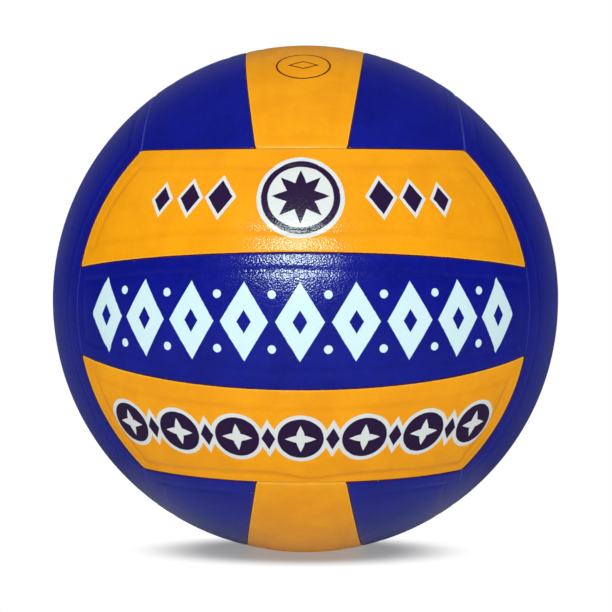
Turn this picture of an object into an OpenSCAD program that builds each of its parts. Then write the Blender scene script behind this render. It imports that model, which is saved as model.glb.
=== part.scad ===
// Volleyball with a cover of 18 glued panels on a moulded carcass.
// The origin is the ball's centre. The front face looks along -Y, and +Z is up.

/* [Ball] */
// Diameter of the ball when it is pumped up
ball_d = 210; // [180:1:240]
// Arc across the middle strip of a face, at its middle
mid_strip_w = 48.7; // [40:0.1:56]
// Straight width of the middle strip at its two ends
mid_strip_end_w = 33.2; // [26:0.1:42]

/* [Cover] */
// Thickness of a cover panel
cover_t = 1.2; // [0.9:0.1:2]
// Width of the seam between two panels
seam_w = 0.3; // [0.2:0.05:0.6]

/* [Layers under the cover] */
// Thickness of the foam laminated under each panel
foam_t = 1.8; // [1:0.1:4]
// Wall of the moulded rubber carcass
carcass_t = 0.5; // [0.4:0.1:2]
// Thickness of the thread winding over the bladder
winding_t = 0.4; // [0.3:0.1:1.2]
// Wall of the bladder
bladder_t = 0.5; // [0.4:0.1:1.5]
// Line of glue between one layer and the next
glue_t = 0.1; // [0.05:0.05:0.2]

/* [Valve] */
// Diameter of the flange bonded inside the bladder
flange_d = 34; // [24:0.5:44]
// Thickness of the flange
flange_t = 1.2; // [0.8:0.1:2.5]
// Diameter of the stem that reaches out through the cover
stem_d = 9.6; // [9:0.1:14]
// Depth of the stem's mouth below the ball's surface
mouth_depth = 0.3; // [0.2:0.05:0.8]
// Length of the sleeve inside the flange
sleeve_len = 15; // [12:0.5:24]
// Diameter of the core's plug
core_d = 6; // [4.6:0.1:6.4]
// Diameter of the core's head
core_head_d = 7.6; // [6.8:0.1:8.2]
// Thickness of the core's head
core_head_t = 1.2; // [0.8:0.1:2]
// Diameter of the passage for the pump's needle
needle_d = 2; // [1.6:0.1:2.6]
// Length of the duckbill lips at the core's inner end
lip_len = 4; // [2.5:0.1:6]
// Thickness of the two lips together
lip_t = 2.6; // [1.8:0.1:3.4]
// Width of the slit between the lips
slit_w = 0.2; // [0.1:0.05:0.4]
// Length of the slit across the lips
slit_len = 3.2; // [2.4:0.1:4]
// How far the core's lips stand out of the sleeve
core_proud = 1; // [0:0.1:3]
// Radial clearance of the core in its sleeve
core_clearance = 0.05; // [0.02:0.01:0.1]

/* [Hidden] */
$fn = 180;

// The ring seams of the six faces lie at this share of the radius, so that three of them meet in each corner
ring_share = sqrt(1 / 3);
band_half = asin(ring_share);
cap_half = acos(ring_share);

ball_r = ball_d / 2;
cover_in_r = ball_r - cover_t;
foam_r = cover_in_r - glue_t;
foam_in_r = foam_r - foam_t;
carcass_r = foam_in_r - glue_t;
carcass_in_r = carcass_r - carcass_t;
winding_r = carcass_in_r - glue_t;
winding_in_r = winding_r - winding_t;
bladder_r = winding_in_r - glue_t;
bladder_in_r = bladder_r - bladder_t;

// The long seams of the middle strip lie in planes that lean inwards towards its ends
mid_half = mid_strip_w / ball_d * 180 / PI;
mid_end_share = mid_strip_end_w / ball_d;
mid_lean = atan((sin(mid_half) - mid_end_share) / (cos(mid_half) - ring_share));
mid_plane = ball_r * sin(mid_half - mid_lean);

half_seam = seam_w / 2;
// Moving a ring's cone this far along its axis takes half a seam off the wall
cone_shift = half_seam / sin(cap_half);
// How far cutting shapes run past what they cut
overrun = cover_t + foam_t;
reach = ball_r + overrun;

stem_r = stem_d / 2;
stem_hole_r = stem_r + glue_t;
flange_r = bladder_in_r - glue_t;
flange_in_r = flange_r - flange_t;
mouth_z = ball_r - mouth_depth;
sleeve_end_z = flange_in_r - sleeve_len;
core_end_z = sleeve_end_z - core_proud;
head_seat_z = mouth_z - core_head_t;
lips_z = core_end_z + lip_len;

// Name, name of the strip on each side, and the turn that takes +Z to the face and +Y to its first side
FACES = [
    ["front", "top", "bottom", [90, 0, 0]],
    ["back", "top", "bottom", [90, 0, 180]],
    ["left", "back", "front", [0, -90, 0]],
    ["right", "back", "front", [0, 90, 0]],
    ["top", "left", "right", [0, 0, 90]],
    ["bottom", "left", "right", [180, 0, -90]],
];
// The strip on the first side of a face, the middle one and the one on its second side
SIDES = [1, 0, -1];
VALVE_FACE = FACES[1];

function strip_name(face, side) = side > 0 ? face[1] : side < 0 ? face[2] : "middle";
function node_name(face, side, piece) = str(face[0], "_", strip_name(face, side), "_", piece);
// The front and back faces have a blue middle strip, and the other four an orange one
function is_blue(face, side) = (side == 0) == (face[0] == "front" || face[0] == "back");

module shell(r, in_r) {
    difference() {
        sphere(r);
        sphere(in_r);
    }
}

// The cone round +Z that meets the ball in a ring seam, moved along its axis
module ring_cone(shift) {
    translate([0, 0, shift])
        cylinder(r1 = 0, r2 = reach * tan(cap_half), h = reach);
}

// All that lies beyond a long seam of the middle strip for sign 1, or on the strip's own side for sign -1
module beside_long_seam(side, sign) {
    base_z = mid_plane + sign * half_seam - (sign < 0 ? 2 * reach : 0);
    rotate([-side * (90 + mid_lean), 0, 0])
        translate([-reach, -reach, base_z])
            cube(2 * reach);
}

// The middle strip of a face on +Z, between two radii
module middle_strip(r, in_r) {
    intersection() {
        shell(r, in_r);
        ring_cone(cone_shift);
        beside_long_seam(1, -1);
        beside_long_seam(-1, -1);
    }
}

// The strip on one side of a face on +Z, between two radii
module side_strip(side, r, in_r) {
    difference() {
        intersection() {
            shell(r, in_r);
            ring_cone(cone_shift);
            beside_long_seam(side, 1);
        }
        rotate([-side * 90, 0, 0])
            ring_cone(-cone_shift);
    }
}

// The hole in each layer that the valve's stem passes through, along +Z
module stem_hole() {
    cylinder(r = stem_hole_r, h = reach);
}

// One strip of one face, where the face is, with the valve's hole if it is there
module strip(face, side, r, in_r) {
    rotate(face[3])
        if (side != 0) {
            side_strip(side, r, in_r);
        } else if (face == VALVE_FACE) {
            difference() {
                middle_strip(r, in_r);
                stem_hole();
            }
        } else {
            middle_strip(r, in_r);
        }
}

module cover_panel(face, side) {
    color(is_blue(face, side) ? "#14109a" : "#fbab08")
        strip(face, side, ball_r, cover_in_r);
}

module foam_backing(face, side) {
    color("#e9e4d6")
        strip(face, side, foam_r, foam_in_r);
}

// A closed round layer with the hole for the valve's stem
module round_layer(r, in_r) {
    rotate(VALVE_FACE[3])
        difference() {
            shell(r, in_r);
            stem_hole();
        }
}

module carcass() {
    color("#2b2b2d")
        round_layer(carcass_r, carcass_in_r);
}

module thread_winding() {
    color("#d9d2bd")
        round_layer(winding_r, winding_in_r);
}

module bladder() {
    color("#1c1c1f")
        round_layer(bladder_r, bladder_in_r);
}

module valve_housing() {
    bore_r = core_d / 2 + core_clearance;
    color("#303034")
        rotate(VALVE_FACE[3])
            difference() {
                union() {
                    intersection() {
                        shell(flange_r, flange_in_r);
                        cylinder(r = flange_d / 2, h = reach);
                    }
                    translate([0, 0, sleeve_end_z])
                        cylinder(r = stem_r, h = mouth_z - sleeve_end_z);
                }
                translate([0, 0, sleeve_end_z - overrun])
                    cylinder(r = bore_r, h = reach);
                translate([0, 0, head_seat_z - core_clearance])
                    cylinder(r = core_head_d / 2 + core_clearance, h = reach);
            }
}

module valve_core() {
    color("#44444a")
        rotate(VALVE_FACE[3])
            difference() {
                union() {
                    translate([0, 0, head_seat_z])
                        cylinder(r = core_head_d / 2, h = core_head_t);
                    translate([0, 0, lips_z])
                        cylinder(r = core_d / 2, h = head_seat_z - lips_z);
                    intersection() {
                        translate([0, 0, core_end_z])
                            cylinder(r = core_d / 2, h = lip_len);
                        translate([-lip_t / 2, -core_d / 2, core_end_z])
                            cube([lip_t, core_d, lip_len]);
                    }
                }
                translate([0, 0, lips_z])
                    cylinder(r = needle_d / 2, h = reach);
                translate([-slit_w / 2, -slit_len / 2, core_end_z - overrun])
                    cube([slit_w, slit_len, lip_len + 2 * overrun]);
            }
}

for (face = FACES, side = SIDES) {
    cover_panel(face, side);
    foam_backing(face, side);
}
carcass();
thread_winding();
bladder();
valve_housing();
valve_core();
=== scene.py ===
import math

import bmesh
import bpy
from mathutils import Euler, Matrix, Vector, noise


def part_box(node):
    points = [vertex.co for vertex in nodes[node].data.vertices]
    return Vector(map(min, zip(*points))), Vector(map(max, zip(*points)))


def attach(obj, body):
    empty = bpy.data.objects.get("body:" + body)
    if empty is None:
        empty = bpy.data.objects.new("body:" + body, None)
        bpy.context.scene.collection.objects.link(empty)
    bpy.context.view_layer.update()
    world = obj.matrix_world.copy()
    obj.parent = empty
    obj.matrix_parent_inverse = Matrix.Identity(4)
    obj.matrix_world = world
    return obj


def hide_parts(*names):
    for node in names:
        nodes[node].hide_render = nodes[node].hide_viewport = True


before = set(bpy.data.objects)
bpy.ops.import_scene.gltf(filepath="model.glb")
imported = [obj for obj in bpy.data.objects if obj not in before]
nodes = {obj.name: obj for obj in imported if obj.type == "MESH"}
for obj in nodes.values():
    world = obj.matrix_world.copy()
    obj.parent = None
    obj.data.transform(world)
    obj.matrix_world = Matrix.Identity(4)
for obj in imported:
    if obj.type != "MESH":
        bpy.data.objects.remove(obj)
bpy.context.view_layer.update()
scene = bpy.context.scene
mm = 0.001

ballRadius = -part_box("front_middle_panel")[0].y
foamRadius = -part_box("front_middle_foam")[0].y
glueLine = 0.1 * mm
print("frame loaded, ball radius", round(ballRadius / mm, 2), "mm")


# camera: the ball's place in the photograph gives the lens and the aim

photo = {
    "side": 612,
    "ballCentre": (305.8, 299.05),
    "ballRadius": 253.4,
    "distance": 589 * mm,
    "azimuth": 1.1,
    "elevation": 4.4,
    "sensor": 36,
    "nearest": 10 * mm,
}


def towards(azimuth, elevation):
    # azimuth 0 is straight in front of the ball; both angles are in degrees
    turn, rise = math.radians(azimuth), math.radians(elevation)
    return Vector((
        math.sin(turn) * math.cos(rise),
        -math.cos(turn) * math.cos(rise),
        math.sin(rise),
    ))


def aimAt(thing, place, target):
    thing.location = place
    thing.rotation_mode = "QUATERNION"
    thing.rotation_quaternion = (target - place).to_track_quat("-Z", "Y")
    scene.collection.objects.link(thing)


def makeCamera():
    back = towards(photo["azimuth"], photo["elevation"])
    turn = math.radians(photo["azimuth"])
    right = Vector((math.cos(turn), math.sin(turn), 0))
    up = back.cross(right)
    # the silhouette is a little smaller than the ball's widest circle
    toSilhouette = math.sqrt(photo["distance"] ** 2 - ballRadius**2)
    focalPixels = photo["ballRadius"] * toSilhouette / ballRadius
    perPixel = photo["distance"] / focalPixels
    middle = photo["side"] / 2
    aim = right * (middle - photo["ballCentre"][0]) * perPixel
    aim -= up * (middle - photo["ballCentre"][1]) * perPixel
    data = bpy.data.cameras.new("photoCamera")
    data.sensor_width = photo["sensor"]
    data.lens = focalPixels / photo["side"] * photo["sensor"]
    data.clip_start = photo["nearest"]
    camera = bpy.data.objects.new("photoCamera", data)
    aimAt(camera, back * photo["distance"], aim)
    scene.camera = camera
    print("camera set, lens", round(data.lens, 1), "mm")


makeCamera()


# small helpers for shader nodes

def addNode(tree, kind, **settings):
    made = tree.nodes.new(kind)
    for key, value in settings.items():
        setattr(made, key, value)
    return made


def feed(tree, socket, value):
    if isinstance(value, bpy.types.NodeSocket):
        tree.links.new(value, socket)
    elif value is not None:
        socket.default_value = value


def calc(tree, operation, *values, clamp=False):
    made = addNode(tree, "ShaderNodeMath", operation=operation, use_clamp=clamp)
    for socket, value in zip(made.inputs, values):
        feed(tree, socket, value)
    return made.outputs[0]


def ramp(tree, value, low, high, toLow=0.0, toHigh=1.0):
    made = addNode(tree, "ShaderNodeMapRange", interpolation_type="SMOOTHSTEP")
    settings = {"Value": value, "From Min": low, "From Max": high, "To Min": toLow, "To Max": toHigh}
    for name, setting in settings.items():
        feed(tree, made.inputs[name], setting)
    return made.outputs["Result"]


def mixColours(tree, factor, first, second):
    made = addNode(tree, "ShaderNodeMix", data_type="RGBA")
    feed(tree, made.inputs[0], factor)
    feed(tree, made.inputs[6], first)
    feed(tree, made.inputs[7], second)
    return made.outputs[2]


def mixValues(tree, factor, first, second):
    made = addNode(tree, "ShaderNodeMix", data_type="FLOAT")
    feed(tree, made.inputs[0], factor)
    feed(tree, made.inputs[2], first)
    feed(tree, made.inputs[3], second)
    return made.outputs[0]


def mixShaders(tree, factor, first, second):
    made = addNode(tree, "ShaderNodeMixShader")
    feed(tree, made.inputs[0], factor)
    tree.links.new(first.outputs[0], made.inputs[1])
    tree.links.new(second.outputs[0], made.inputs[2])
    return made


def addNoise(tree, vector, scale, detail=2.0, rough=0.5):
    made = addNode(tree, "ShaderNodeTexNoise")
    feed(tree, made.inputs["Vector"], vector)
    feed(tree, made.inputs["Scale"], scale)
    feed(tree, made.inputs["Detail"], detail)
    feed(tree, made.inputs["Roughness"], rough)
    return made.outputs["Fac"]


def objectPlace(tree):
    return addNode(tree, "ShaderNodeTexCoord").outputs["Object"]


def splitVector(tree, vector):
    split = addNode(tree, "ShaderNodeSeparateXYZ")
    tree.links.new(vector, split.inputs[0])
    return split.outputs


def splitAttribute(tree, name):
    attribute = addNode(tree, "ShaderNodeAttribute", attribute_name=name)
    return splitVector(tree, attribute.outputs["Vector"])


def newGroup(name, inputs, outputs):
    tree = bpy.data.node_groups.new(name, "ShaderNodeTree")
    for label, kind, value in inputs:
        socket = tree.interface.new_socket(label, in_out="INPUT", socket_type=kind)
        if value is not None:
            socket.default_value = value
    for label, kind in outputs:
        tree.interface.new_socket(label, in_out="OUTPUT", socket_type=kind)
    return tree, addNode(tree, "NodeGroupInput").outputs, addNode(tree, "NodeGroupOutput").inputs


def placeGroup(tree, group, **values):
    made = addNode(tree, "ShaderNodeGroup", node_tree=group)
    for label, value in values.items():
        feed(tree, made.inputs[label], value)
    return made.outputs


def newMaterial(name):
    material = bpy.data.materials.new(name)
    material.use_nodes = True
    tree = material.node_tree
    return material, tree, tree.nodes["Principled BSDF"]


def giveSurface(tree, shader, colour, rough, height, bumpDepth):
    feed(tree, shader.inputs["Base Color"], colour)
    feed(tree, shader.inputs["Roughness"], rough)
    bump = addNode(tree, "ShaderNodeBump")
    bump.inputs["Distance"].default_value = bumpDepth
    feed(tree, bump.inputs["Height"], height)
    tree.links.new(bump.outputs["Normal"], shader.inputs["Normal"])


# shared effects: pebble grain, slow mottling, and marks along the seams, whose dark line is a stain with
# painted shade of the gap

pebble = {"fall": 1.6, "pitsFrom": (0.5, 0.8)}
mottling = {"broadDetail": 3.0, "broadRough": 0.6, "finer": 6.0}
seamMarkLook = {
    "raggedScale": 900.0,
    "rimSway": 0.4,
    "rimSolid": 0.4,
    "stainShadeSway": 0.2,
    "stainShadeSolid": 0.6,
    "spotScale": 420.0,
    "spotsFrom": (0.69, 0.78),
    "placeScale": 40.0,
    "placesFrom": (0.5, 0.62),
    "residueUntil": (0.3, 1.6),
}


def makeGrainGroup():
    tree, given, out = newGroup(
        "pebbleGrain",
        [("Vector", "NodeSocketVector", None), ("Cell", "NodeSocketFloat", 0.6)],
        [("Height", "NodeSocketFloat"), ("Pits", "NodeSocketFloat")],
    )
    # each pebble falls away from its middle, with pits between the pebbles; a cell is in millimetres
    pebbles = addNode(tree, "ShaderNodeTexVoronoi", feature="F1")
    feed(tree, pebbles.inputs["Vector"], given["Vector"])
    feed(tree, pebbles.inputs["Scale"], calc(tree, "DIVIDE", 1 / mm, given["Cell"]))
    away = pebbles.outputs["Distance"]
    feed(tree, out["Height"], calc(tree, "MULTIPLY_ADD", away, -pebble["fall"], 1.0))
    feed(tree, out["Pits"], ramp(tree, away, *pebble["pitsFrom"]))
    return tree


def makeMottleGroup():
    tree, given, out = newGroup(
        "slowMottle",
        [("Vector", "NodeSocketVector", None), ("Patch", "NodeSocketFloat", 14.0)],
        [("Broad", "NodeSocketFloat"), ("Fine", "NodeSocketFloat")],
    )
    place = given["Vector"]
    scale = calc(tree, "DIVIDE", 1 / mm, given["Patch"])
    finer = calc(tree, "MULTIPLY", scale, mottling["finer"])
    feed(tree, out["Broad"], addNoise(tree, place, scale, mottling["broadDetail"], mottling["broadRough"]))
    feed(tree, out["Fine"], addNoise(tree, place, finer))
    return tree


def makeSeamMarkGroup():
    tree, given, out = newGroup(
        "seamMarkGroup",
        [
            ("Vector", "NodeSocketVector", None),
            ("Edge", "NodeSocketFloat", 5.0),
            ("Width", "NodeSocketFloat", 0.5),
            ("Stain", "NodeSocketFloat", 0.2),
        ],
        [("Rim", "NodeSocketFloat"), ("Residue", "NodeSocketFloat"), ("Line", "NodeSocketFloat")],
    )
    place, edge = given["Vector"], given["Edge"]
    ragged = calc(tree, "SUBTRACT", addNoise(tree, place, seamMarkLook["raggedScale"]), 0.5)
    # a pale rim, and a dark line that is a stain with painted shade of the gap
    for output, width, sway, solid in (("Rim", "Width", "rimSway", "rimSolid"),
                                       ("Line", "Stain", "stainShadeSway", "stainShadeSolid")):
        swayed = calc(tree, "MULTIPLY_ADD", ragged, seamMarkLook[sway], edge)
        inner = calc(tree, "MULTIPLY", given[width], seamMarkLook[solid])
        feed(tree, out[output], ramp(tree, swayed, inner, given[width], 1.0, 0.0))
    # spots of glue, at some places along a seam only
    spots = ramp(tree, addNoise(tree, place, seamMarkLook["spotScale"]), *seamMarkLook["spotsFrom"])
    places = ramp(tree, addNoise(tree, place, seamMarkLook["placeScale"]), *seamMarkLook["placesFrom"])
    near = ramp(tree, edge, *seamMarkLook["residueUntil"], 1.0, 0.0)
    feed(tree, out["Residue"], calc(tree, "MULTIPLY", calc(tree, "MULTIPLY", spots, places), near))
    return tree


pebbleGrain = makeGrainGroup()
slowMottle = makeMottleGroup()
seamMarkGroup = makeSeamMarkGroup()


# the printed motifs: each gives a white mask and a dark mask from the place on its panel, in millimetres

argyle = {
    "pitch": 19.8,
    "halfWidth": 8.7,
    "halfHeight": 14.0,
    "core": 4.2,
    "dot": 1.5,
    "dotV": 9.6,
    "reach": 87.5,
}
beads = {
    "pitch": 23.0,
    "disc": 8.2,
    "star": 5.6,
    "starPoints": 4,
    "starWaist": 2.2,
    "lozenge": (2.5, 4.6),
    "lozengeReach": 74.0,
    "outline": 1.6,
    "centreV": 0.6,
    "reach": 77.6,
}
starRing = {
    "centreV": 0.5,
    "disc": 14.0,
    "ring": 11.7,
    "star": 10.3,
    "starPoints": 8,
    "starWaist": 2.4,
    "outline": 1.6,
}
besideRing = {
    "start": 29.0,
    "pitch": 12.0,
    "count": 3,
    "halfWidth": 4.6,
    "halfHeight": 6.6,
    "shrink": 0.86,
    "outline": 1.2,
}
plainOval = {
    "centreU": -50.0,
    "halfWidth": 10.2,
    "halfHeight": 11.6,
    "line": 0.36,
    "lozenge": 3.4,
    "lozengeStretch": 1.6,
}
ink = {"edge": 0.1, "wobble": 0.16, "wobbleScale": 500.0}


def inside(tree, distance):
    return ramp(tree, distance, -ink["edge"], ink["edge"], 1.0, 0.0)


def least(tree, *distances):
    joined = distances[0]
    for distance in distances[1:]:
        joined = calc(tree, "MINIMUM", joined, distance)
    return joined


def cutOut(tree, shape, hole):
    return calc(tree, "MAXIMUM", shape, calc(tree, "MULTIPLY", hole, -1.0))


def grow(tree, distance, by):
    return calc(tree, "SUBTRACT", distance, by)


def lineAlong(tree, distance, halfWidth):
    return grow(tree, calc(tree, "ABSOLUTE", distance), halfWidth)


def apart(tree, value, centre):
    return calc(tree, "ABSOLUTE", calc(tree, "SUBTRACT", value, centre))


def withinReach(tree, shape, u, reach):
    return calc(tree, "MAXIMUM", shape, calc(tree, "SUBTRACT", calc(tree, "ABSOLUTE", u), reach))


def lozengeDistance(tree, across, along, halfWidth, halfHeight):
    slope = math.hypot(halfWidth, halfHeight)
    first = calc(tree, "MULTIPLY", across, halfHeight / slope)
    total = calc(tree, "MULTIPLY_ADD", along, halfWidth / slope, first)
    return calc(tree, "SUBTRACT", total, halfWidth * halfHeight / slope)


def circleDistance(tree, across, along, radius):
    squares = calc(tree, "MULTIPLY_ADD", along, along, calc(tree, "MULTIPLY", across, across))
    return calc(tree, "SUBTRACT", calc(tree, "SQRT", squares), radius)


def starDistance(tree, across, along, look):
    angle = calc(tree, "ARCTAN2", along, across)
    spoke = calc(tree, "PINGPONG", angle, math.pi / look["starPoints"])
    fromCentre = circleDistance(tree, across, along, 0.0)
    stretch = calc(tree, "MULTIPLY_ADD", spoke, look["starWaist"], 1.0)
    return calc(tree, "SUBTRACT", calc(tree, "MULTIPLY", fromCentre, stretch), look["star"])


def argyleMasks(tree, u, v):
    # a row of white lozenges, each with a hole, and pairs of dots between them
    look = argyle
    across = calc(tree, "PINGPONG", u, look["pitch"] / 2)
    along = calc(tree, "ABSOLUTE", v)
    lozenge = lozengeDistance(tree, across, along, look["halfWidth"], look["halfHeight"])
    holeWidth = look["core"] * look["halfWidth"] / look["halfHeight"]
    hole = lozengeDistance(tree, across, along, holeWidth, look["core"])
    between = calc(tree, "SUBTRACT", look["pitch"] / 2, across)
    dot = circleDistance(tree, between, calc(tree, "SUBTRACT", along, look["dotV"]), look["dot"])
    shape = least(tree, cutOut(tree, lozenge, hole), dot)
    return inside(tree, withinReach(tree, shape, u, look["reach"])), 0.0


def beadMasks(tree, u, v):
    # dark discs with a white star, and dark lozenges between them, all with a white outline
    look = beads
    along = apart(tree, v, look["centreV"])
    across = calc(tree, "PINGPONG", u, look["pitch"] / 2)
    between = calc(tree, "SUBTRACT", look["pitch"] / 2, across)
    disc = circleDistance(tree, across, along, look["disc"])
    lozenge = lozengeDistance(tree, between, along, *look["lozenge"])
    lozenge = withinReach(tree, lozenge, u, look["lozengeReach"])
    shape = withinReach(tree, least(tree, disc, lozenge), u, look["reach"])
    dark = cutOut(tree, shape, starDistance(tree, across, along, look))
    return inside(tree, grow(tree, shape, look["outline"])), inside(tree, dark)


def starRingMasks(tree, u, v):
    # a ring with a star in the middle, and a row of three lozenges on each side that grow smaller
    look = starRing
    along = calc(tree, "SUBTRACT", v, look["centreV"])
    disc = circleDistance(tree, u, along, look["disc"])
    ring = circleDistance(tree, u, along, look["ring"])
    star = starDistance(tree, u, along, look)
    fromMiddle = calc(tree, "ABSOLUTE", u)
    level = calc(tree, "ABSOLUTE", along)
    row = []
    for index in range(besideRing["count"]):
        size = besideRing["shrink"] ** index
        place = apart(tree, fromMiddle, besideRing["start"] + index * besideRing["pitch"])
        half = (besideRing["halfWidth"] * size, besideRing["halfHeight"] * size)
        row.append(lozengeDistance(tree, place, level, *half))
    row = least(tree, *row)
    white = least(tree, grow(tree, disc, look["outline"]), grow(tree, row, besideRing["outline"]))
    return inside(tree, white), inside(tree, least(tree, cutOut(tree, disc, ring), star, row))


def ovalMasks(tree, u, v):
    # a thin dark oval with a thin lozenge in it
    look = plainOval
    across = calc(tree, "ABSOLUTE", v)
    along = apart(tree, u, look["centreU"])
    stretched = calc(tree, "MULTIPLY", along, look["halfWidth"] / look["halfHeight"])
    oval = circleDistance(tree, across, stretched, look["halfWidth"])
    halfWidth = look["lozenge"] * look["lozengeStretch"]
    lozenge = lozengeDistance(tree, across, along, halfWidth, look["lozenge"])
    lines = [lineAlong(tree, shape, look["line"]) for shape in (oval, lozenge)]
    return 0.0, inside(tree, least(tree, *lines))


# leather of the cover panels, one material per colour and print

leathers = {
    "blue_leather": {
        "colour": (0.0016, 0.0046, 0.24, 1),
        "deep": (0.0011, 0.0032, 0.2, 1),
        "rim": (0.03, 0.04, 0.3, 1),
        "rimStrength": (0.0, 1.0),
        "rimWidth": 0.45,
        "stainAndGapShade": 0.26,
        # painted shade along the pressed crease
        "creaseShade": (0.0012, 0.0034, 0.19, 1),
        "widerAtEnds": 1.3,
        "widerOutside": 2.0,
        "specular": 0.8,
        "sheen": 0.11,
        "sheenTint": (0.1, 0.16, 1, 1),
        "whiteInk": (0.57, 0.77, 0.81, 1),
    },
    "orange_leather": {
        "colour": (0.83, 0.335, 0.0004, 1),
        "deep": (0.77, 0.295, 0.0004, 1),
        "rim": (0.78, 0.46, 0.06, 1),
        "rimStrength": (1.0, 0.35),
        "rimWidth": 0.7,
        "stainAndGapShade": 0.24,
        # painted shade along the pressed crease
        "creaseShade": (0.7, 0.25, 0.0002, 1),
        "widerAtEnds": 2.6,
        "widerOutside": 1.0,
        "specular": 0.5,
        "sheen": 0.05,
        "sheenTint": (1, 0.7, 0.05, 1),
        "whiteInk": (0.62, 0.66, 0.65, 1),
    },
}
leatherLook = {
    "cell": 0.72,
    "bump": 0.047 * mm,
    "mottleFrom": (0.35, 0.68),
    "roughFrom": (0.3, 0.7),
    "roughness": (0.18, 0.23),
    "pitShare": 0.3,
    "glossTint": (0.82, 1.0, 0.91, 1),
    "sheenRoughness": 0.35,
    "rimFrom": (35.0, 75.0),
    "rimAtMiddle": 0.45,
    # dark line at seams between two colours: a stain with painted shade of the gap
    "stainAndGapShade": (0.075, 0.006, 0.026, 1),
    "creaseShadeShare": 0.6,
    "residue": (0.42, 0.42, 0.46, 1),
    "residueShare": 0.55,
    "darkInk": (0.02, 0.0065, 0.042, 1),
    "thinInk": (0.085, 0.012, 0.004, 1),
    "inkRoughness": 0.22,
    "inkFill": 0.2,
}


def seamEdge(tree, look, edge, outerSeam, endSeam):
    # the distance from the seam, made less where the pale rim is wider
    wider = calc(tree, "MULTIPLY_ADD", endSeam, look["widerAtEnds"] - 1, 1.0)
    wider = calc(tree, "MULTIPLY_ADD", outerSeam, look["widerOutside"] - 1, wider)
    return calc(tree, "DIVIDE", edge, wider)


def bareLeather(tree, look, mottle, pits):
    colour = mixColours(tree, ramp(tree, mottle, *leatherLook["mottleFrom"]), look["colour"], look["deep"])
    colour = mixColours(tree, calc(tree, "MULTIPLY", pits, leatherLook["pitShare"]), colour, look["deep"])
    # painted shade: the leather is coloured darker along the pressed crease
    crease = addNode(tree, "ShaderNodeAttribute", attribute_name="crease").outputs["Fac"]
    crease = calc(tree, "MULTIPLY", crease, leatherLook["creaseShadeShare"])
    return mixColours(tree, crease, colour, look["creaseShade"])


def seamMarkedLeather(tree, look, colour, marks, sameColour, u):
    # the pale rim fades towards the panel's middle, and only a seam between two colours gets the dark line,
    # a stain with painted shade of the gap between the panels
    pale = calc(tree, "MULTIPLY", marks["Rim"], mixValues(tree, sameColour, *look["rimStrength"]))
    fromMiddle = calc(tree, "ABSOLUTE", u)
    towardEnds = ramp(tree, fromMiddle, *leatherLook["rimFrom"], leatherLook["rimAtMiddle"], 1.0)
    colour = mixColours(tree, calc(tree, "MULTIPLY", pale, towardEnds), colour, look["rim"])
    stainedAndShaded = calc(tree, "MULTIPLY", marks["Line"], calc(tree, "SUBTRACT", 1.0, sameColour))
    colour = mixColours(tree, stainedAndShaded, colour, leatherLook["stainAndGapShade"])
    residue = calc(tree, "MULTIPLY", marks["Residue"], leatherLook["residueShare"])
    return mixColours(tree, residue, colour, leatherLook["residue"])


def inkMasks(tree, masks, place, u, v):
    # the ink's edge wavers a little
    wobble = addNoise(tree, place, ink["wobbleScale"])
    wobble = calc(tree, "MULTIPLY_ADD", wobble, 2 * ink["wobble"], -ink["wobble"])
    return masks(tree, calc(tree, "ADD", u, wobble), calc(tree, "ADD", v, wobble))


def leatherMaterial(name, slot, masks=None, darkColour="darkInk"):
    look = leathers[slot]
    material, tree, shader = newMaterial(name)
    place = objectPlace(tree)
    u, v, edge = splitAttribute(tree, "panelPlace")
    sameColour, outerSeam, endSeam = splitAttribute(tree, "beyondSeam")
    edge = seamEdge(tree, look, edge, outerSeam, endSeam)
    grain = placeGroup(tree, pebbleGrain, Vector=place, Cell=leatherLook["cell"])
    mottle = placeGroup(tree, slowMottle, Vector=place)
    marks = placeGroup(tree, seamMarkGroup, Vector=place, Edge=edge, Width=look["rimWidth"], Stain=look["stainAndGapShade"])
    colour = bareLeather(tree, look, mottle["Broad"], grain["Pits"])
    colour = seamMarkedLeather(tree, look, colour, marks, sameColour, u)
    rough = ramp(tree, mottle["Fine"], *leatherLook["roughFrom"], *leatherLook["roughness"])
    height = grain["Height"]
    if masks:
        # a mask of 0 stands for an ink that the motif doesn't use
        white, dark = inkMasks(tree, masks, place, u, v)
        for mask, inkColour in ((white, look["whiteInk"]), (dark, leatherLook[darkColour])):
            if mask != 0.0:
                colour = mixColours(tree, mask, colour, inkColour)
        covered = calc(tree, "MAXIMUM", white, dark, clamp=True)
        rough = mixValues(tree, covered, rough, leatherLook["inkRoughness"])
        keep = calc(tree, "MULTIPLY_ADD", covered, -leatherLook["inkFill"], 1.0)
        height = calc(tree, "MULTIPLY", height, keep)
    giveSurface(tree, shader, colour, rough, height, leatherLook["bump"])
    shader.inputs["Specular IOR Level"].default_value = look["specular"]
    shader.inputs["Specular Tint"].default_value = leatherLook["glossTint"]
    shader.inputs["Sheen Weight"].default_value = look["sheen"]
    shader.inputs["Sheen Tint"].default_value = look["sheenTint"]
    shader.inputs["Sheen Roughness"].default_value = leatherLook["sheenRoughness"]
    return material


plainLeather = {slot: leatherMaterial(slot + "_plain", slot) for slot in leathers}
printedLeather = {
    "front_middle": leatherMaterial("blue_leather_argyle", "blue_leather", argyleMasks),
    "front_bottom": leatherMaterial("orange_leather_beads", "orange_leather", beadMasks),
    "front_top": leatherMaterial("orange_leather_star_ring", "orange_leather", starRingMasks),
    "top_middle": leatherMaterial("orange_leather_oval", "orange_leather", ovalMasks, "thinInk"),
}
print("leather materials made")


# cover panels: a grid is laid over each strip, close together at its seams and at the pressed crease

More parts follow.
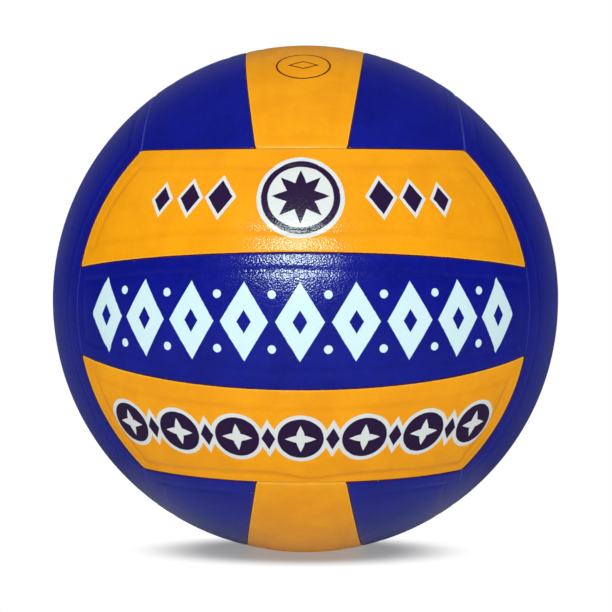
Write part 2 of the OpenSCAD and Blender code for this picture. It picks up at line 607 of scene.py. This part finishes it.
cover = {
    "midStripWidth": 48.7 * mm,
    "midStripEndWidth": 33.2 * mm,
    "gap": 0.1 * mm,
    "edgeLines": (
        0, 0.08, 0.18, 0.32, 0.5, 0.75, 1.05, 1.4, 1.9, 2.5, 3.1, 3.7,
        4.3, 4.8, 5.3, 5.8, 6.3, 6.8, 7.3, 7.8, 8.4, 9.1, 10, 11,
    ),
    "spacing": 1.3 * mm,
    "searchRounds": 14,
    "cornerRound": 1.3 * mm,
    "rollWidth": 1.3 * mm,
    "rollDrop": 0.19 * mm,
    "rollPower": 2.4,
    "lipWidth": 0.12 * mm,
    "lipDrop": 0.12 * mm,
    "gapSlope": 1.1,
    "waveDepth": 0.06 * mm,
    "waveLength": 15 * mm,
    "sharpAbove": 40,
    "seedRange": 97,
    "seedStep": 3.7,
}
creases = {
    "at": {"middle": 6.7 * mm, "side": 7.9 * mm},
    "round": 5 * mm,
    "wander": 0.9 * mm,
    "wanderLength": 22 * mm,
    "sway": 0.7,
    "swayStretch": 0.8,
    "width": 2.6 * mm,
    "step": 0.06 * mm,
    "blend": 4 * mm,
    "atEnds": {"middle": 0.6, "side": 1.3},
    "nearerEnds": 1.1 * mm,
    "offFront": 0.5,
    "grooveWidth": 1.25 * mm,
    "grooveDepth": 0.25 * mm,
    "fullCreaseShadeAt": 2,
}
valveFace = "back"
valveHole = {
    "radius": 4.9 * mm,
    "rings": (4.9, 5.0, 5.12, 5.3, 5.6, 6, 6.5, 7.2, 8, 9.2, 10.6),
    "roundUntil": 6.5,
    "insidePitch": 0.7,
    "slack": 0.02 * mm,
    "tolerance": 1e-6,
    "rollWidth": 0.9 * mm,
    "rollDrop": 0.22 * mm,
}
# the crease along the outer seam of the front's lower panel is deep, and meets the seam at one place
deepCreases = {
    "front_bottom": {
        "strength": 1.7,
        "nearer": 3.9 * mm,
        "at": 3 * mm,
        "width": 9 * mm,
        "depth": 2.6 * mm,
        "dip": 1.5,
    },
}
# the middle strips of the left and right faces are pressed lower along their long seams
lowBorders = {
    "pieces": ("left_middle", "right_middle"),
    "depth": 0.4 * mm,
    "from": 9 * mm,
    "until": 19 * mm,
}

ringShare = math.sqrt(1 / 3)
capHalf = math.acos(ringShare)
bandHalf = math.asin(ringShare)
midHalf = cover["midStripWidth"] / 2 / ballRadius
endShare = cover["midStripEndWidth"] / 2 / ballRadius
midLean = math.atan((math.sin(midHalf) - endShare) / (math.cos(midHalf) - ringShare))
seamTilt = midHalf - midLean

# name of the strip on each side of a face, and the turn that takes +Z to the face
faces = {
    "front": ("top", "bottom", (90, 0, 0)),
    "back": ("top", "bottom", (90, 0, 180)),
    "left": ("back", "front", (0, -90, 0)),
    "right": ("back", "front", (0, 90, 0)),
    "top": ("left", "right", (0, 0, 90)),
    "bottom": ("left", "right", (180, 0, -90)),
}


def faceTurn(face):
    return Euler([math.radians(angle) for angle in faces[face][2]]).to_matrix()


def smooth(value):
    value = min(1, max(0, value))
    return value * value * (3 - 2 * value)


def longSeamLatitude(longitude, away):
    lean = math.cos(longitude) * math.sin(midLean)
    size = math.hypot(math.cos(midLean), lean)
    return math.asin(math.sin(seamTilt + away) / size) + math.atan2(lean, math.cos(midLean))


def latitudeAt(kind, line, longitude):
    side, distance, share = line
    away = distance / ballRadius
    if kind == "middle":
        north = longSeamLatitude(longitude, -away)
        south = -north
    else:
        north = bandHalf - away
        south = longSeamLatitude(longitude, away)
    if side:
        return north if side > 0 else south
    return south + (north - south) * (share + 1) / 2


def longitudeAt(line, latitude):
    side, distance, share = line
    level = math.cos(capHalf - distance / ballRadius) / math.cos(latitude)
    return (side or share) * math.acos(min(1, level))


def gridLines(length, valveRings=False):
    # a line is (side, distance from that side's seam, 0) near a seam, and (0, distance, share) between
    edge = [distance * mm + cover["gap"] / 2 for distance in cover["edgeLines"]]
    last = edge[-1]
    half = length / 2 - last
    if valveRings:
        positions = ringPositions(half)
    else:
        count = round(2 * half / cover["spacing"])
        positions = [half * (2 * i / count - 1) for i in range(1, count)]
    start = [(-1, distance, 0) for distance in edge]
    middle = [(0, last, position / half) for position in sorted(positions)]
    end = [(1, distance, 0) for distance in reversed(edge)]
    return start + middle + end, half


def ringPositions(half):
    # close together at the rim of the valve's hole, and even inside and beyond
    rings = [radius * mm for radius in valveHole["rings"]]
    count = round(2 * rings[0] / mm / valveHole["insidePitch"])
    positions = [rings[0] * (2 * i / count - 1) for i in range(1, count)]
    rest = half - rings[-1]
    count = max(1, round(rest / cover["spacing"]))
    rings += [rings[-1] + rest * i / count for i in range(1, count)]
    return positions + [sign * radius for radius in rings for sign in (-1, 1)]


def stripGrid(kind, valveRings=False):
    # unit vectors of all grid points: z out through the face, y to its first side, x along the strip
    width = cover["midStripWidth"] if kind == "middle" else (bandHalf - midHalf) * ballRadius
    alongLines, alongHalf = gridLines(2 * capHalf * ballRadius, valveRings)
    acrossLines, acrossHalf = gridLines(width, valveRings)
    points = []
    for alongLine in alongLines:
        row = []
        for acrossLine in acrossLines:
            longitude = latitude = 0.0
            for _ in range(cover["searchRounds"]):
                latitude = latitudeAt(kind, acrossLine, longitude)
                longitude = longitudeAt(alongLine, latitude)
            point = Vector((
                math.cos(latitude) * math.sin(longitude),
                math.sin(latitude),
                math.cos(latitude) * math.cos(longitude),
            ))
            if valveRings and not alongLine[0] and not acrossLine[0]:
                point = roundOff(point, alongLine[2] * alongHalf / mm, acrossLine[2] * acrossHalf / mm)
            row.append((point, latitude, longitude))
        points.append(row)
    return points


def roundOff(point, across, along):
    # square rings of the grid become round ones about the valve
    ring = max(abs(across), abs(along))
    outer, inner = valveHole["rings"][-1], valveHole["roundUntil"]
    if ring > outer or ring < valveHole["rings"][0] - valveHole["tolerance"]:
        return point
    share = smooth((outer - ring) / (outer - inner))
    a, b = across / ring, along / ring
    circle = Vector((a * math.sqrt(1 - b * b / 2), b * math.sqrt(1 - a * a / 2))) * ring * mm
    flat = Vector(point.xy).normalized() * math.acos(point.z) * ballRadius
    flat = flat.lerp(circle, share)
    turn = flat.length / ballRadius
    flat.normalize()
    return Vector((flat.x * math.sin(turn), flat.y * math.sin(turn), math.cos(turn)))


def seamDistances(kind, point):
    # how far a point is from each of its strip's seams, on the ball
    lean = Vector((0, math.cos(midLean), -math.sin(midLean)))
    fromEnd = capHalf - math.acos(point.z)
    north = math.asin(point.dot(lean))
    if kind == "middle":
        south = math.asin(Vector((point.x, -point.y, point.z)).dot(lean))
        angles = (fromEnd, seamTilt - north, seamTilt - south)
    else:
        angles = (fromEnd, north - seamTilt, bandHalf - math.asin(point.y))
    return [angle * ballRadius for angle in angles]


def roundedDistance(distances, radius):
    first, second = sorted(distances)[:2]
    if second >= radius:
        return first
    return radius - math.hypot(radius - first, radius - second)


def isBlue(face, isMiddle):
    return isMiddle == (face in ("front", "back"))


def beyondSeam(face, strip, distances, point):
    # whether the strip beyond the nearest seam has the same colour, whether the seam is a side strip's
    # outer one with another colour beyond, and whether it is the one at a strip's end
    own = isBlue(face, strip == "middle")
    nearest = distances.index(min(distances))
    if nearest == 0:
        return float(own == (face not in ("top", "bottom"))), 0, 1
    if strip == "middle" or nearest == 1:
        return 0, 0, 0
    meetsMiddle = abs(point.x) * ballRadius < cover["midStripEndWidth"] / 2
    same = own == isBlue(strip, meetsMiddle)
    return float(same), float(not same), 0


def seamDrop(edge):
    # the leather rolls down to its seam and ends in a small lip
    beside = max(0, edge)
    roll = max(0, 1 - beside / cover["rollWidth"])
    drop = cover["rollDrop"] * roll ** cover["rollPower"]
    drop += cover["lipDrop"] * math.exp(-beside / cover["lipWidth"])
    return drop + max(0, -edge) * cover["gapSlope"]


def creaseCourse(name, kind, distances, world, along, seed):
    # how far from the seam the crease runs, and how strongly it is pressed
    slow = world / creases["wanderLength"] + seed
    shift = creases["wander"] * noise.noise(slow)
    strength = 1 + creases["sway"] * noise.noise(slow * creases["swayStretch"] + seed)
    if not name.startswith("front"):
        strength *= creases["offFront"]
    fromEnd, fromLong, fromOuter = distances
    atEnd = smooth((min(fromLong, fromOuter) - fromEnd) / creases["blend"] + 0.5)
    strength *= 1 + (creases["atEnds"][kind] - 1) * atEnd
    shift -= creases["nearerEnds"] * atEnd
    deep = deepCreases.get(name)
    if deep:
        share = smooth((min(fromLong, fromEnd) - fromOuter) / creases["blend"] + 0.5)
        local = math.exp(-(((along - deep["at"]) / deep["width"]) ** 2)) * share
        shift -= deep["nearer"] * share + deep["depth"] * local
        strength *= 1 + (deep["strength"] - 1) * share
        strength *= 1 + (deep["dip"] - 1) * local
    return creases["at"][kind] + shift, strength


def surfaceDrop(name, kind, distances, world, along, seed):
    # how deep the leather lies, how far off the seam is, how deep the crease is, and how strong the
    # crease's painted shade is
    edge = roundedDistance(distances, cover["cornerRound"]) - cover["gap"] / 2
    inner = roundedDistance(distances, creases["round"])
    drop = seamDrop(edge)
    at, strength = creaseCourse(name, kind, distances, world, along, seed)
    drop += creases["step"] * strength * (1 - smooth((inner - at) / creases["width"] + 0.5))
    crease = strength * math.exp(-(((inner - at) / creases["grooveWidth"]) ** 2))
    drop += creases["grooveDepth"] * crease
    if name in lowBorders["pieces"]:
        rise = (min(distances[1:]) - lowBorders["from"]) / (lowBorders["until"] - lowBorders["from"])
        drop += lowBorders["depth"] * (1 - smooth(rise))
    drop += cover["waveDepth"] * (0.5 + 0.5 * noise.noise(world / cover["waveLength"] + seed))
    return drop, edge, min(1, crease / creases["fullCreaseShadeAt"])


def layLeather(bm, face, strip, side, points, matrix):
    # moves a flat grid onto the ball, and writes each point's place on its panel
    key = f"{face}_{strip}"
    kind = "side" if side else "middle"
    flip = -1 if side < 0 else 1
    withHole = face == valveFace and strip == "middle"
    seed = Vector((sum(map(ord, key)) % cover["seedRange"], side * cover["seedStep"], len(key)))
    rows, columns = len(points), len(points[0])
    bmesh.ops.create_grid(bm, x_segments=rows - 1, y_segments=columns - 1, size=0.5)
    place = bm.verts.layers.float_vector.new("panelPlace")
    beyond = bm.verts.layers.float_vector.new("beyondSeam")
    creaseShade = bm.verts.layers.float.new("crease")
    inHole = []
    for vert in bm.verts:
        i, j = round((vert.co.x + 0.5) * (rows - 1)), round((vert.co.y + 0.5) * (columns - 1))
        point, latitude, longitude = points[i][j]
        fromHole = math.acos(min(1, point.z)) * ballRadius - valveHole["radius"]
        if withHole and fromHole < -valveHole["slack"]:
            inHole.append(vert)
            continue
        north = latitudeAt(kind, (1, 0, 0), longitude)
        south = latitudeAt(kind, (-1, 0, 0), longitude)
        middle = (north + south) / 2
        u = longitude * math.cos(middle) * ballRadius * flip
        v = (latitude - middle) * ballRadius * flip
        distances = seamDistances(kind, point)
        drop, edge, crease = surfaceDrop(key, kind, distances, matrix @ point * ballRadius, u, seed)
        if withHole:
            roll = max(0, 1 - fromHole / valveHole["rollWidth"])
            drop += valveHole["rollDrop"] * roll ** cover["rollPower"]
            edge = min(edge, fromHole)
        vert[place] = Vector((u, v, max(0, edge))) / mm
        nearHole = withHole and fromHole < min(distances)
        vert[beyond] = (1, 0, 0) if nearHole else beyondSeam(face, strip, distances, point)
        # how much painted shade the crease puts into the colour
        vert[creaseShade] = crease
        vert.co = point * (ballRadius - max(0, drop))
    bmesh.ops.delete(bm, geom=inHole, context="VERTS")


def thickenLeather(bm):
    outer = list(bm.verts) + list(bm.edges) + list(bm.faces)
    grown = bmesh.ops.extrude_face_region(bm, geom=outer, use_keep_orig=True)
    innerRadius = foamRadius + glueLine
    for part in grown["geom"]:
        if isinstance(part, bmesh.types.BMVert):
            part.co = part.co.normalized() * innerRadius
    bmesh.ops.recalc_face_normals(bm, faces=bm.faces)


def finishPiece(bm, name, sharpAbove):
    for face in bm.faces:
        face.smooth = True
    for edge in bm.edges:
        if len(edge.link_faces) == 2 and edge.calc_face_angle() > math.radians(sharpAbove):
            edge.smooth = False
    mesh = bpy.data.meshes.new(name)
    bm.to_mesh(mesh)
    bm.free()
    piece = bpy.data.objects.new(name, mesh)
    scene.collection.objects.link(piece)
    return piece


def buildPanel(face, side, points):
    first, second, _ = faces[face]
    strip = {1: first, 0: "middle", -1: second}[side]
    matrix = faceTurn(face)
    if side < 0:
        matrix = matrix @ Matrix.Rotation(math.pi, 3, "Z")
    bm = bmesh.new()
    layLeather(bm, face, strip, side, points, matrix)
    thickenLeather(bm)
    bm.transform(matrix.to_4x4())
    piece = finishPiece(bm, face + strip.capitalize() + "Skin", cover["sharpAbove"])
    slot = "blue_leather" if isBlue(face, side == 0) else "orange_leather"
    piece.data.materials.append(printedLeather.get(f"{face}_{strip}", plainLeather[slot]))
    nodeName = f"{face}_{strip}_panel"
    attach(piece, "ball")
    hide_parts(nodeName)
    return piece


def makeCover():
    grids = {0: stripGrid("middle"), 1: stripGrid("side")}
    grids[-1] = grids[1]
    holed = stripGrid("middle", valveRings=True)
    count = 0
    for face in faces:
        for side in (1, 0, -1):
            points = holed if (face, side) == (valveFace, 0) else grids[side]
            count += len(buildPanel(face, side, points).data.polygons)
    print("cover made,", count, "faces")


makeCover()


# rubber of the valve, the carcass and the bladder

rubbers = {
    "valve_rubber": {
        "colour": (0.017, 0.017, 0.019, 1),
        "worn": (0.035, 0.035, 0.038, 1),
        "roughness": (0.45, 0.62),
    },
    "core_rubber": {
        "colour": (0.03, 0.03, 0.033, 1),
        "worn": (0.06, 0.06, 0.064, 1),
        "roughness": (0.42, 0.58),
    },
    "carcass_rubber": {
        "colour": (0.02, 0.02, 0.022, 1),
        "worn": (0.035, 0.034, 0.034, 1),
        "roughness": (0.6, 0.8),
    },
    "bladder_rubber": {
        "colour": (0.012, 0.012, 0.014, 1),
        "worn": (0.02, 0.02, 0.022, 1),
        "roughness": (0.35, 0.5),
    },
}
rubberLook = {
    "cell": 0.25,
    "bump": 0.012 * mm,
    "patch": 4.0,
    "wornFrom": (0.4, 0.7),
    "roughFrom": (0.3, 0.7),
}


def rubberMaterial(slot):
    look = rubbers[slot]
    material, tree, shader = newMaterial(slot + "_moulded")
    place = objectPlace(tree)
    grain = placeGroup(tree, pebbleGrain, Vector=place, Cell=rubberLook["cell"])
    mottle = placeGroup(tree, slowMottle, Vector=place, Patch=rubberLook["patch"])
    worn = ramp(tree, mottle["Broad"], *rubberLook["wornFrom"])
    colour = mixColours(tree, worn, look["colour"], look["worn"])
    rough = ramp(tree, mottle["Fine"], *rubberLook["roughFrom"], *look["roughness"])
    giveSurface(tree, shader, colour, rough, grain["Height"], rubberLook["bump"])
    return material


# valve: both pieces are turned from a half section in millimetres (radius, distance from the ball's centre)

valve = {
    "steps": 96,
    "flangeRadius": 17.0,
    "flangeOuter": 100.1,
    "flangeInner": 98.9,
    "flangeShares": (0.86, 0.7, 0.55, 0.42),
    "flangeEdge": 0.4,
    "fillet": 1.2,
    "stemRadius": 4.8,
    "mouth": 104.7,
    "rim": 0.35,
    "innerRim": 0.2,
    "seatRadius": 3.85,
    "seat": 103.45,
    "seatEdge": 0.3,
    "boreRadius": 3.05,
    "sleeveEnd": 83.9,
    "boreEdge": 0.4,
    "sleeveEdge": 0.8,
    "sharpAbove": 35,
}
core = {
    "headRadius": 3.8,
    "headTop": 104.7,
    "headSeat": 103.5,
    "headEdge": 0.35,
    "plugRadius": 3.0,
    "needleRadius": 1.0,
    "funnelRadius": 2.0,
    "funnelDepth": 1.1,
    "lips": 86.9,
    "end": 82.9,
    "shoulder": 0.4,
    "shoulderEdge": 0.3,
    "ribs": 5,
    "ribStart": 2.5,
    "ribPitch": 2.4,
    "ribDepth": 0.16,
    "grooveSteps": (0.35, 0.75, 1.1),
    "lipSteps": 8,
    "lipHalf": (0.72, 2.75),
    "slitHalf": (0.08, 1.5),
}


def turnPiece(section):
    # each corner of the section has its own rounding, which may be 0
    bm = bmesh.new()
    verts = [bm.verts.new((radius * mm, 0, height * mm)) for radius, height, _ in section]
    for first, second in zip(verts, verts[1:] + verts[:1]):
        bm.edges.new((first, second))
    for vert, (_, _, rounding) in zip(verts, section):
        if rounding:
            bmesh.ops.bevel(bm, geom=[vert], offset=rounding * mm, offset_type="OFFSET", segments=4,
                            profile=0.5, affect="VERTICES", material=-1)
    bmesh.ops.spin(bm, geom=bm.verts[:] + bm.edges[:], cent=(0, 0, 0), axis=(0, 0, 1), angle=2 * math.pi,
                   steps=valve["steps"], use_merge=True)
    bmesh.ops.remove_doubles(bm, verts=bm.verts, dist=0.001 * mm)
    bmesh.ops.recalc_face_normals(bm, faces=bm.faces)
    return bm


def makeHousing():
    v = valve

    def onFlange(radius, ball, rounding=0):
        return radius, math.sqrt(ball**2 - radius**2), rounding

    flange = [v["flangeRadius"] * share for share in v["flangeShares"]]
    section = [onFlange(radius, v["flangeInner"]) for radius in reversed(flange)]
    for ball in ("flangeInner", "flangeOuter"):
        section.append(onFlange(v["flangeRadius"], v[ball], v["flangeEdge"]))
    section += [onFlange(radius, v["flangeOuter"]) for radius in flange]
    section += [
        onFlange(v["stemRadius"], v["flangeOuter"], v["fillet"]),
        (v["stemRadius"], v["mouth"], v["rim"]),
        (v["seatRadius"], v["mouth"], v["innerRim"]),
        (v["seatRadius"], v["seat"], 0),
        (v["boreRadius"], v["seat"], v["seatEdge"]),
        (v["boreRadius"], v["sleeveEnd"], v["boreEdge"]),
        (v["stemRadius"], v["sleeveEnd"], v["sleeveEdge"]),
        onFlange(v["stemRadius"], v["flangeInner"], v["fillet"]),
    ]
    bm = turnPiece(section)
    bm.transform(faceTurn(valveFace).to_4x4())
    piece = finishPiece(bm, "valveStem", v["sharpAbove"])
    piece.data.materials.append(rubberMaterial("valve_rubber"))
    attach(piece, "ball")
    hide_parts("valve_housing")


def coreSection():
    c = core
    section = [
        (c["needleRadius"], c["lips"], 0),
        (c["needleRadius"], c["headTop"] - c["funnelDepth"], 0),
        (c["funnelRadius"], c["headTop"], c["headEdge"]),
        (c["headRadius"], c["headTop"], c["headEdge"]),
        (c["headRadius"], c["headSeat"], 0),
        (c["plugRadius"], c["headSeat"], 0),
    ]
    groove = c["plugRadius"] - c["ribDepth"]
    intoGroove, outOfGroove, end = c["grooveSteps"]
    for rib in range(c["ribs"]):
        top = c["headSeat"] - c["ribStart"] - rib * c["ribPitch"]
        section += [
            (c["plugRadius"], top, 0),
            (groove, top - intoGroove, 0),
            (groove, top - outOfGroove, 0),
            (c["plugRadius"], top - end, 0),
        ]
    section.append((c["plugRadius"], c["lips"] + c["shoulder"], c["shoulderEdge"]))
    lipLength = c["lips"] - c["end"]
    for step in range(c["lipSteps"] + 1):
        section.append((c["plugRadius"], c["lips"] - lipLength * step / c["lipSteps"], 0))
    for step in range(c["lipSteps"] + 1):
        section.append((c["needleRadius"], c["end"] + lipLength * step / (c["lipSteps"] + 1), 0))
    return section


def pressLips(bm):
    # the round end of the core becomes two flat lips with a slit between them
    c = core
    for vert in bm.verts:
        below = c["lips"] - vert.co.z / mm
        if below <= 0:
            continue
        share = smooth(below / (c["lips"] - c["end"]))
        radius = math.hypot(vert.co.x, vert.co.y) / mm
        half = c["lipHalf"] if radius > (c["plugRadius"] + c["needleRadius"]) / 2 else c["slitHalf"]
        vert.co.x *= 1 + (half[0] / radius - 1) * share
        vert.co.y *= 1 + (half[1] / radius - 1) * share


def makeCore():
    bm = turnPiece(coreSection())
    pressLips(bm)
    bm.transform(faceTurn(valveFace).to_4x4())
    piece = finishPiece(bm, "valvePlug", valve["sharpAbove"])
    piece.data.materials.append(rubberMaterial("core_rubber"))
    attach(piece, "valve_core")
    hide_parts("valve_core")


makeHousing()
makeCore()
print("valve made")


# layers under the cover keep their CAD meshes and get their own finish

foam = {
    "colour": (0.78, 0.74, 0.62, 1),
    "pore": (0.5, 0.46, 0.36, 1),
    "cell": 0.45,
    "bump": 0.12 * mm,
    "roughness": 0.9,
}
thread = {
    "colour": (0.68, 0.62, 0.5, 1),
    "gap": (0.2, 0.17, 0.12, 1),
    "pitch": 0.35,
    "slants": ((20, 35, 0), (75, -30, 40), (-50, 60, 80)),
    "bandsPerScale": 20,
    "waver": 1.5,
    "patchScale": 60.0,
    "patchFrom": (0.35, 0.6),
    "patchDepth": (0.4, 1.0),
    "bump": 0.1 * mm,
    "roughness": 0.55,
}


def foamMaterial():
    material, tree, shader = newMaterial("foam_open_cell")
    grain = placeGroup(tree, pebbleGrain, Vector=objectPlace(tree), Cell=foam["cell"])
    colour = mixColours(tree, grain["Pits"], foam["colour"], foam["pore"])
    giveSurface(tree, shader, colour, foam["roughness"], grain["Height"], foam["bump"])
    return material


def threadMaterial():
    # three sets of parallel turns, laid over one another at different slants
    material, tree, shader = newMaterial("nylon_thread_wound")
    place = objectPlace(tree)
    height = None
    for slant in thread["slants"]:
        mapping = addNode(tree, "ShaderNodeMapping")
        mapping.inputs["Rotation"].default_value = [math.radians(angle) for angle in slant]
        tree.links.new(place, mapping.inputs["Vector"])
        turns = addNode(tree, "ShaderNodeTexWave", wave_type="BANDS", bands_direction="Z")
        tree.links.new(mapping.outputs[0], turns.inputs["Vector"])
        turns.inputs["Scale"].default_value = 1 / mm / thread["pitch"] / thread["bandsPerScale"]
        turns.inputs["Distortion"].default_value = thread["waver"]
        patch = addNoise(tree, mapping.outputs[0], thread["patchScale"], detail=1.0)
        patch = ramp(tree, patch, *thread["patchFrom"], *thread["patchDepth"])
        layer = calc(tree, "MULTIPLY", turns.outputs["Fac"], patch)
        height = layer if height is None else calc(tree, "MAXIMUM", height, layer)
    colour = mixColours(tree, height, thread["gap"], thread["colour"])
    giveSurface(tree, shader, colour, thread["roughness"], height, thread["bump"])
    return material


def dressInnerLayers():
    foamFinish = foamMaterial()
    finishes = {
        "carcass": rubberMaterial("carcass_rubber"),
        "thread_winding": threadMaterial(),
        "bladder": rubberMaterial("bladder_rubber"),
    }
    for name, node in nodes.items():
        finish = foamFinish if name.endswith("_foam") else finishes.get(name)
        if finish:
            node.data.materials.clear()
            node.data.materials.append(finish)
    print("inner layers finished")


dressInnerLayers()


# studio: pale floor, soft light from all round, one soft box in front and a fill light behind

studio = {
    "floorHalf": 6.0,
    "floorColour": (0.95, 0.95, 0.95, 1),
    "floorNear": (0.4, 0.43, 0.47, 1),
    "floorFar": (0.07, 0.07, 0.07, 1),
    "nearUntil": (35 * mm, 135 * mm),
    "nearGlow": 0.6,
    "white": (1, 1, 1, 1),
    "shadowHalf": (74 * mm, 28 * mm),
    "shadowShift": (1.7 * mm, 10.5 * mm),
    "shadowCore": 0.5,
    "shadowGrey": (0.36, 0.36, 0.36, 1),
    "shadowEven": 0.75,
    "ambientFrom": (-0.1, 0.9),
    "ambient": (0.2, 0.95),
    "mirroredFrom": (0.55, 0.95),
    "mirrored": (0.018, 0.1),
}
lamps = {
    "softBox": {
        "azimuth": -3.5,
        "elevation": 23.4,
        "distance": 1.2,
        "size": (0.37, 0.22),
        "watts": 6.9,
        "mirrored": True,
    },
    "backFill": {
        "azimuth": 180,
        "elevation": 12,
        "distance": 1.3,
        "size": (1.2, 1.0),
        "watts": 8.5,
        "mirrored": False,
    },
}


def glowing(tree, colour):
    made = addNode(tree, "ShaderNodeEmission")
    made.inputs["Color"].default_value = colour
    return made


def shadowMask(tree, place):
    offsets = []
    for axis in range(2):
        shifted = calc(tree, "ADD", place[axis], studio["shadowShift"][axis])
        offsets.append(calc(tree, "DIVIDE", shifted, studio["shadowHalf"][axis]))
    away = circleDistance(tree, *offsets, 0.0)
    return ramp(tree, away, studio["shadowCore"], 1.0, 1.0, 0.0)


def makeFloorMaterial():
    # the camera sees a white floor with a flat soft shadow at the place of contact
    material, tree, shader = newMaterial("paleFloor")
    tree.nodes.remove(shader)
    path = addNode(tree, "ShaderNodeLightPath").outputs
    place = splitVector(tree, objectPlace(tree))
    far = ramp(tree, circleDistance(tree, place[0], place[1], 0.0), *studio["nearUntil"])
    mirrored = mixColours(tree, far, studio["floorNear"], studio["floorFar"])
    lit = addNode(tree, "ShaderNodeBsdfDiffuse")
    colour = mixColours(tree, path["Is Glossy Ray"], studio["floorColour"], mirrored)
    feed(tree, lit.inputs["Color"], colour)
    white = glowing(tree, studio["white"])
    shade = mixShaders(tree, studio["shadowEven"], lit, glowing(tree, studio["shadowGrey"]))
    seen = mixShaders(tree, shadowMask(tree, place), white, shade)
    # light that creeps in under the ball
    glow = ramp(tree, far, 0.0, 1.0, studio["nearGlow"], 0.0)
    unseen = mixShaders(tree, calc(tree, "MULTIPLY", glow, path["Is Diffuse Ray"]), lit, white)
    surface = mixShaders(tree, path["Is Camera Ray"], unseen, seen)
    # a camera below the floor looks through it
    underside = addNode(tree, "ShaderNodeNewGeometry").outputs["Backfacing"]
    fromBelow = calc(tree, "MULTIPLY", underside, path["Is Camera Ray"])
    surface = mixShaders(tree, fromBelow, surface, addNode(tree, "ShaderNodeBsdfTransparent"))
    tree.links.new(surface.outputs[0], tree.nodes["Material Output"].inputs["Surface"])
    return material


def makeFloor():
    bm = bmesh.new()
    bmesh.ops.create_grid(bm, x_segments=1, y_segments=1, size=studio["floorHalf"])
    bmesh.ops.translate(bm, verts=bm.verts, vec=(0, 0, -ballRadius))
    mesh = bpy.data.meshes.new("floor")
    bm.to_mesh(mesh)
    bm.free()
    floor = bpy.data.objects.new("floor", mesh)
    scene.collection.objects.link(floor)
    floor.data.materials.append(makeFloorMaterial())


def makeWorld():
    world = bpy.data.worlds.new("studio")
    scene.world = world
    world.use_nodes = True
    tree = world.node_tree
    background = tree.nodes["Background"]
    path = addNode(tree, "ShaderNodeLightPath").outputs
    toward = splitVector(tree, addNode(tree, "ShaderNodeTexCoord").outputs["Generated"])
    diffuse = ramp(tree, toward["Z"], *studio["ambientFrom"], *studio["ambient"])
    mirrored = ramp(tree, toward["Y"], *studio["mirroredFrom"], *studio["mirrored"])
    level = mixValues(tree, path["Is Glossy Ray"], diffuse, mirrored)
    seen = calc(tree, "MAXIMUM", path["Is Camera Ray"], path["Is Transmission Ray"])
    feed(tree, background.inputs["Strength"], mixValues(tree, seen, level, 1.0))
    background.inputs["Color"].default_value = studio["white"]


def makeLamps():
    for name, look in lamps.items():
        data = bpy.data.lights.new(name, "AREA")
        data.shape = "RECTANGLE"
        data.size, data.size_y = look["size"]
        data.energy = look["watts"]
        lamp = bpy.data.objects.new(name, data)
        lamp.visible_camera = False
        lamp.visible_glossy = look["mirrored"]
        aimAt(lamp, towards(look["azimuth"], look["elevation"]) * look["distance"], Vector())


makeFloor()
makeWorld()
makeLamps()
scene.view_settings.view_transform = "Standard"
print("studio made")
